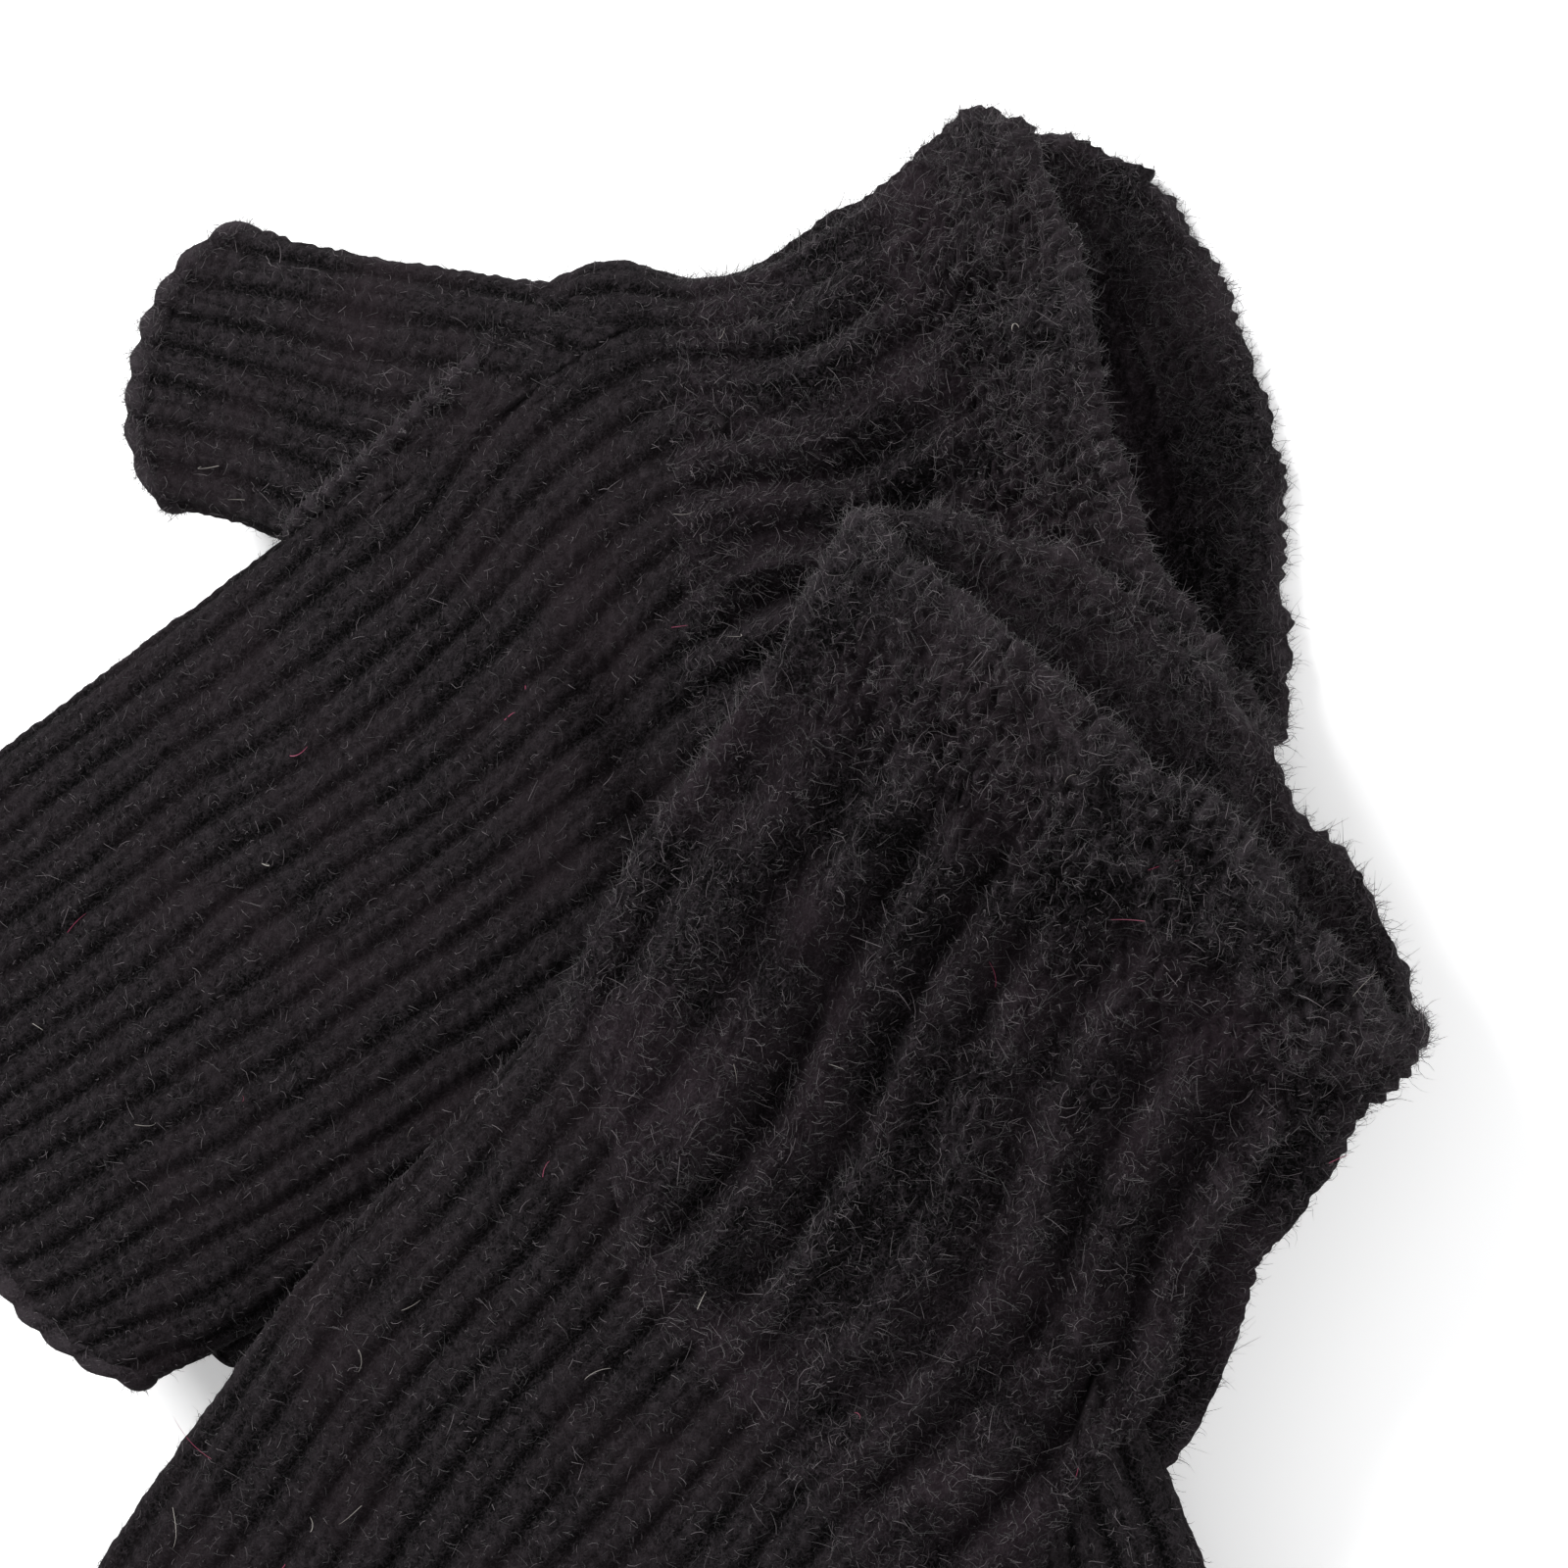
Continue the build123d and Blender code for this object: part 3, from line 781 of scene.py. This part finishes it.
def build_cap(side, look):
    """Folded cap: ribbed pouch under the hand, gathered to a rounded tip."""
    seed, body = look["seed"] + 100, side + "_cap"
    m = 320
    s = columns(m)
    far = HINGE[0] + CAP_LENGTH

    def section(x, trim):
        """Y and Z of the pouch at x, trim inside its surface."""
        along = np.clip((x - (far - CAP_ROUND)) / CAP_ROUND, 0, 1)
        half = (CAP_HALF - 1.1) * np.sqrt(np.clip(1 - along ** 2, 0.0004, 1)) - trim
        low, high = 1.15 + trim, back(x) - 1.55 - trim
        mid, b = (low + high) / 2, max((high - low) / 2, 0.3)
        b *= np.sqrt(np.clip(1 - along ** 6, 0.02, 1))
        half = max(half, 0.6)
        y, z = by_arc(half * power(np.cos(SECTION), 5.0), b * power(np.sin(SECTION), 5.0), s)
        return y, mid + z

    def pouch(xs, trim):
        out = np.empty((len(xs), m, 3))
        for k, xk in enumerate(xs):
            y, z = section(xk, trim)
            out[k, :, 0], out[k, :, 1], out[k, :, 2] = xk, y, z
        return out

    xs = np.concatenate([np.linspace(7.0, far - 14, 150), far - 14 + 14 * np.sin(np.linspace(0.02, pi / 2, 50))])
    xs = np.minimum(xs, far - 0.05)
    outer = pouch(xs, 0.0)
    grid_x = np.repeat(xs[:, None], m, axis=1)
    relief, tone = ribbed(grid_x, s[None, :], RIBS, seed, 1.25)
    relief = relief * (0.35 + 0.65 * smooth(0, 14, far - grid_x))
    inner = pouch(np.concatenate([np.linspace(7.0, far - 16, 26), np.linspace(far - 14, far - 2.4, 8)]), 1.1)
    # the inside of the pouch gets a low flat tone of 0.3: painted shade
    obj, _ = knit_shell(side + "_cap_knit", side, body, outer, relief, tone, inner,
                        np.full(inner.shape[:2], 0.3), "rib")
    finish_piece(obj, body, M_RIB, "rib_knit", side + "_cap")

    # hem: beaded band past the hinge line on the underside and the sides
    lowest = HINGE[2] - 1.6
    y, z = section(7.0, 0.0)
    keep = z < lowest - 0.2
    start = np.argmax(keep & ~np.roll(keep, 1))
    order = (start + np.arange(keep.sum())) % m
    y, z = y[order], z[order]
    corner = 1.9 + 5.2 * smooth(22, 44, np.abs(y)) ** 1.5
    yn, zn = np.gradient(y), np.gradient(z)
    nrm = unit(np.stack([zn, -yn], axis=1))
    if np.mean(nrm[:, 0] * y + nrm[:, 1] * (z - z.mean())) < 0:
        nrm = -nrm

    def lay(x, r):
        return np.stack([x, y + nrm[:, 0] * r, z + nrm[:, 1] * r], axis=1)

    rows, tones = [], []
    nx = 20
    for f in np.arange(nx) / (nx - 1):
        x = 7.2 + (corner - 7.2) * f
        r, tone = ribbed(x[None, :], s[order][None, :], RIBS, seed, 1.25)
        rows.append(lay(x, r[0] + 0.1))
        tones.append(tone[0])
    for k in range(1, 6):
        a = pi * k / 6
        rows.append(lay(corner - 1.0 * sin(a), -0.2 + 1.25 * cos(a)))
        tones.append(np.full(len(y), 0.7))
    # rows tucked under the hem get a low tone: painted shade under the fold
    for f in np.arange(8) / 7:
        rows.append(lay(corner + (7.2 - corner) * f, -1.1))
        tones.append(np.full(len(y), 0.3))
    rows, tones = np.array(rows), np.array(tones)
    strip = strip_mesh(side + "_cap_hem_knit", side, rows, tones)
    finish_piece(strip, body, M_EDGE, "edge_yarn", side + "_cap_hem")
    away = np.broadcast_to(np.concatenate([np.zeros((len(y), 1)), nrm], axis=1), rows[:nx].shape)
    grids.append((side, body, "edge", rows[:nx], away, tones[:nx]))

    ys = np.linspace(-39.5, 39.5, 40)
    line = np.stack([np.full(40, HINGE[0]), ys, np.full(40, HINGE[2])], axis=1)
    obj = edge_cord(side + "_cap_hinge_stitch", side, body, line, 1.2, 2.6, seed + 5, closed=False, ply=0.5)
    finish_piece(obj, body, M_EDGE, "edge_yarn", side + "_cap_hinge_seam")


def strip_mesh(name, side, rows, tones):
    """Closed ring of rows, open across the columns, with its two ends filled in."""
    n, m = rows.shape[:2]
    verts = world(side, rows.reshape(-1, 3))
    faces = []
    for i in range(n):
        for j in range(m - 1):
            a, b = i * m + j, i * m + j + 1
            c, d = ((i + 1) % n) * m + j + 1, ((i + 1) % n) * m + j
            faces.append((a, b, c, d) if side != "right" else (d, c, b, a))
    half = n // 2
    for j in (0, m - 1):
        for i in range(half):
            a, b = i * m + j, ((i + 1) % n) * m + j
            c, d = ((n - 2 - i) % n) * m + j, ((n - 1 - i) % n) * m + j
            if len({a, b, c, d}) == 4:
                faces.append((a, b, c, d))
    return new_mesh(name, verts, np.array(faces), tones)


def build_fastener(side):
    """Thread stitches through the button, and the twisted loop on the cap."""
    body, cap_body = side + "_mitten", side + "_cap"
    x = HINGE[0] + CAP_LENGTH + LOOP_R - 0.8
    tilt = turn("y", 4.0)
    origin = np.array([x, 0.0, back(x)])

    def local(points):
        return np.asarray(points) @ tilt.T + origin

    button = frame["nodes"][side + "_button"]
    for slot in button.material_slots:
        slot.material = M_BUTTON
    coils = [(1.75 * cos(a) - 0.2, 1.75 * sin(a), -0.15 - 2.1 * k / 60)
             for k in range(61) for a in [2 * pi * 6 * k / 60]]
    obj = edge_cord(side + "_button_shank_thread", side, body, local(coils), 0.36, 0.9, 5, closed=False, around=7)
    finish_piece(obj, body, M_THREAD, "thread", side + "_button_thread")
    cross = [(2.0, 2.0, -5.1), (1.8, 1.8, -5.55), (0, 0, -5.75), (-1.9, -1.9, -5.55), (-2.2, -2.2, -5.1)]
    for k, sx in enumerate((1, -1)):
        pts = [(px * 0.95 - 0.2, py * 0.95 * sx, pz) for px, py, pz in cross]
        obj = edge_cord(f"{side}_button_stitch_{k}", side, body, local(pts), 0.32, 0.9, 6 + k, closed=False, around=7)
        finish_piece(obj, body, M_THREAD, "thread")
    ring = [(LOOP_R * cos(a), LOOP_R * sin(a), -1.2) for a in np.arange(72) / 72 * 2 * pi]
    obj = edge_cord(side + "_button_loop_cord", side, cap_body, local(ring), 0.72, 1.3, 9)
    finish_piece(obj, cap_body, M_THREAD, "thread", side + "_button_loop")


# ---------------------------------------------------------------- loose fibres
def grow_fibres(name, side, grid_list, count, seed, length, radius, stand=0.5, segments=3, curl=0.75,
                brighten=0.0, shade=1.0):
    """Fine curly fibres standing off the yarn, as thin three-sided tubes."""
    rng = np.random.default_rng(seed)
    roots, norms, tans = [], [], []
    areas = []
    for points, n_out, tone in grid_list:
        a = np.linalg.norm(np.cross(np.gradient(points, axis=0), np.gradient(points, axis=1)), axis=-1)
        a = a * (0.20 + 0.80 * tone ** 1.2)
        areas.append(a.ravel())
        roots.append(points.reshape(-1, 3))
        norms.append(np.asarray(n_out).reshape(-1, 3))
        tans.append(np.gradient(points, axis=1).reshape(-1, 3))
    areas = np.concatenate(areas)
    roots, norms, tans = map(np.concatenate, (roots, norms, tans))
    pick = rng.choice(len(areas), size=count, p=areas / areas.sum())
    p, n, t = roots[pick], unit(norms[pick]), unit(tans[pick])
    b = np.cross(n, t)
    p = p + t * rng.normal(0, 0.25, (count, 1)) + b * rng.normal(0, 0.25, (count, 1)) - n * 0.15
    a = np.where(rng.random(count) < 0.62, pi / 2 + rng.choice([-0.62, 0.62], count) + rng.normal(0, 0.35, count),
                 rng.random(count) * 2 * pi)
    lift = stand * (0.35 + 1.1 * rng.random(count) ** 1.5)
    d = unit(n * lift[:, None] + t * np.cos(a)[:, None] + b * np.sin(a)[:, None])
    size = length * np.exp(rng.normal(0, 0.42, count))
    size = np.clip(size, 0.25 * length, 2.3 * length)
    axis = unit(rng.normal(size=(count, 3)))
    bend = rng.normal(0, curl, count) + np.sign(rng.normal(size=count)) * curl * 0.6
    pts = [p]
    step = (size / segments)[:, None]
    for k in range(segments):
        pts.append(pts[-1] + d * step)
        w = bend * (0.7 + 0.6 * rng.random(count))
        c, q = np.cos(w)[:, None], np.sin(w)[:, None]
        d = d * c + np.cross(axis, d) * q + axis * np.sum(axis * d, axis=1, keepdims=True) * (1 - c)
        d = unit(d + n * 0.06)
    pts = np.array(pts)                                   # segments+1, count, 3
    tangent = unit(np.gradient(pts, axis=0))
    ref = unit(np.cross(tangent, axis[None]) + 1e-7)
    ref2 = np.cross(tangent, ref)
    thick = radius * (0.7 + 0.6 * rng.random(count))
    verts = []
    for k in range(segments + 1):
        taper = 1.0 - 0.65 * (k / segments) ** 2
        for h in range(3):
            q = 2 * pi * h / 3
            verts.append(pts[k] + (ref[k] * cos(q) + ref2[k] * sin(q)) * (thick * taper)[:, None])
    verts = np.array(verts)                               # (segments+1)*3, count, 3
    total = (segments + 1) * 3
    verts = verts.transpose(1, 0, 2).reshape(-1, 3)
    base = np.arange(count)[:, None] * total
    faces = []
    for k in range(segments):
        for h in range(3):
            a0, a1 = k * 3 + h, k * 3 + (h + 1) % 3
            faces.append(base + np.array([[a0, a1, a1 + 3, a0 + 3]]))
    faces = np.stack(faces, axis=1).reshape(-1, 4)
    # random tone per fibre, scaled by shade, which darkens the fibres inside the cuff as painted shade
    tone = np.clip(rng.random(count) ** 2.6 * shade + brighten, 0, 1)
    return new_mesh(name, world(side, verts), faces, np.repeat(tone, total))


def fuzz():
    """All loose fibres. Plan: kind of knit, count, length, radius, how far they stand off, material, slot."""
    plan = [("rib", 19000, 1.5, 0.032, 0.42, M_FIBRE, "rib_knit"),
            ("cuff", 32600, 1.9, 0.031, 0.60, M_FIBRE, "cuff_knit"),
            ("edge", 5000, 1.7, 0.036, 0.9, M_FIBRE, "edge_yarn"),
            ("brim", 2500, 1.0, 0.034, 0.3, M_FIBRE, "edge_yarn"),
            ("lip", 4500, 1.7, 0.031, 0.8, M_FIBRE, "cuff_knit"),
            ("inside", 5000, 1.8, 0.031, 0.7, M_FIBRE, "cuff_knit")]
    for side in ("right", "left"):
        for body in (side + "_mitten", side + "_cap"):
            for kind, count, length, radius, stand, mat, slot in plan:
                chosen = [(g[3], g[4], g[5]) for g in grids if g[0] == side and g[1] == body and g[2] == kind]
                if not chosen:
                    continue
                if body.endswith("_cap"):
                    count = int(count * (0.6 if kind == "rib" else 0.3))
                parts = 1 + count // 10900
                for k in range(parts):
                    # fibres inside the cuff get shade 0.35: painted shade
                    obj = grow_fibres(f"{body}_{kind}_fibres_{k}", side, chosen, count // parts,
                                      LOOKS[side]["seed"] * 31 + hash_name(kind) + k, length, radius, stand,
                                      shade=0.35 if kind == "inside" else 0.9)
                    finish_piece(obj, body, mat, slot)
        # stray coloured fibres caught in the wool
        body = side + "_mitten"
        chosen = [(g[3], g[4], g[5]) for g in grids if g[0] == side and g[1] == body and g[2] in ("cuff", "rib")]
        for tag, mat, count in (("pink", M_PINK, 26), ("pale", M_PALE, 34)):
            obj = grow_fibres(f"{side}_{tag}_fibres", side, chosen, count, LOOKS[side]["seed"] + hash_name(tag),
                              4.0, 0.048, segments=8, curl=0.16, brighten=0.1)
            finish_piece(obj, body, mat, "cuff_knit")


def hash_name(text):
    """A fixed number for a word, to seed its fibres."""
    return sum(ord(ch) * (k + 3) for k, ch in enumerate(text))


# ---------------------------------------------------------------- build
for side in ("right", "left"):
    build_mitten(side)
fuzz()

# ---------------------------------------------------------------- floor, light and camera
FLOOR = 4.0
floor_mesh = bpy.data.meshes.new("floor")
floor_mesh.from_pydata([(-FLOOR, -FLOOR, 0), (FLOOR, -FLOOR, 0), (FLOOR, FLOOR, 0), (-FLOOR, FLOOR, 0)], [],
                       [(0, 1, 2, 3)])
floor = bpy.data.objects.new("floor", floor_mesh)
bpy.context.scene.collection.objects.link(floor)
paper = Nodes("pale paper").shade({"Base Color": (0.93, 0.93, 0.935, 1), "Roughness": 0.9,
                                   "Emission Color": (1, 1, 1, 1), "Emission Strength": 0.22})
floor_mesh.materials.append(paper)

sky = bpy.data.worlds.new("studio")
sky.use_nodes = True
sky.node_tree.nodes["Background"].inputs["Color"].default_value = (1.0, 1.0, 1.0, 1)
sky.node_tree.nodes["Background"].inputs["Strength"].default_value = 0.66
bpy.context.scene.world = sky


def softbox(name, place, aim, width, power):
    light = bpy.data.lights.new(name, "AREA")
    light.shape = "SQUARE"
    light.size = width
    light.energy = power
    obj = bpy.data.objects.new(name, light)
    obj.location = place
    obj.rotation_euler = (Vector(aim) - Vector(place)).to_track_quat("-Z", "Y").to_euler()
    bpy.context.scene.collection.objects.link(obj)


softbox("key", (-0.42, 0.50, 0.62), (0, 0, 0.02), 0.40, 10.5)
softbox("fill", (0.7, -0.35, 0.7), (0, 0, 0.02), 0.8, 5.0)

# camera: over the cuff end, looking down towards the fingers, turned on its side
HEIGHT, BEARING = radians(70), radians(-11)     # direction from the aim point to the camera
DISTANCE = 0.42
aim = Vector((0.0242, 0.0390, 0.015))
toward = Vector((cos(HEIGHT) * cos(BEARING), cos(HEIGHT) * sin(BEARING), sin(HEIGHT)))
right_std = (-toward).cross(Vector((0, 0, 1))).normalized()
up_std = right_std.cross(-toward)
roll = np.arctan2(0.19, -0.98) - pi / 2
img_x = right_std * cos(roll) - up_std * sin(roll)
img_y = right_std * sin(roll) + up_std * cos(roll)
lens = bpy.data.cameras.new("camera")
lens.lens, lens.sensor_width = 75.6, 36.0
lens.clip_start = 0.01
camera = bpy.data.objects.new("camera", lens)
place = aim + toward * DISTANCE
camera.matrix_world = Matrix(((img_x[0], img_y[0], toward[0], place[0]),
                              (img_x[1], img_y[1], toward[1], place[1]),
                              (img_x[2], img_y[2], toward[2], place[2]), (0, 0, 0, 1)))
bpy.context.scene.collection.objects.link(camera)
bpy.context.scene.camera = camera
bpy.context.scene.view_settings.view_transform = "Standard"
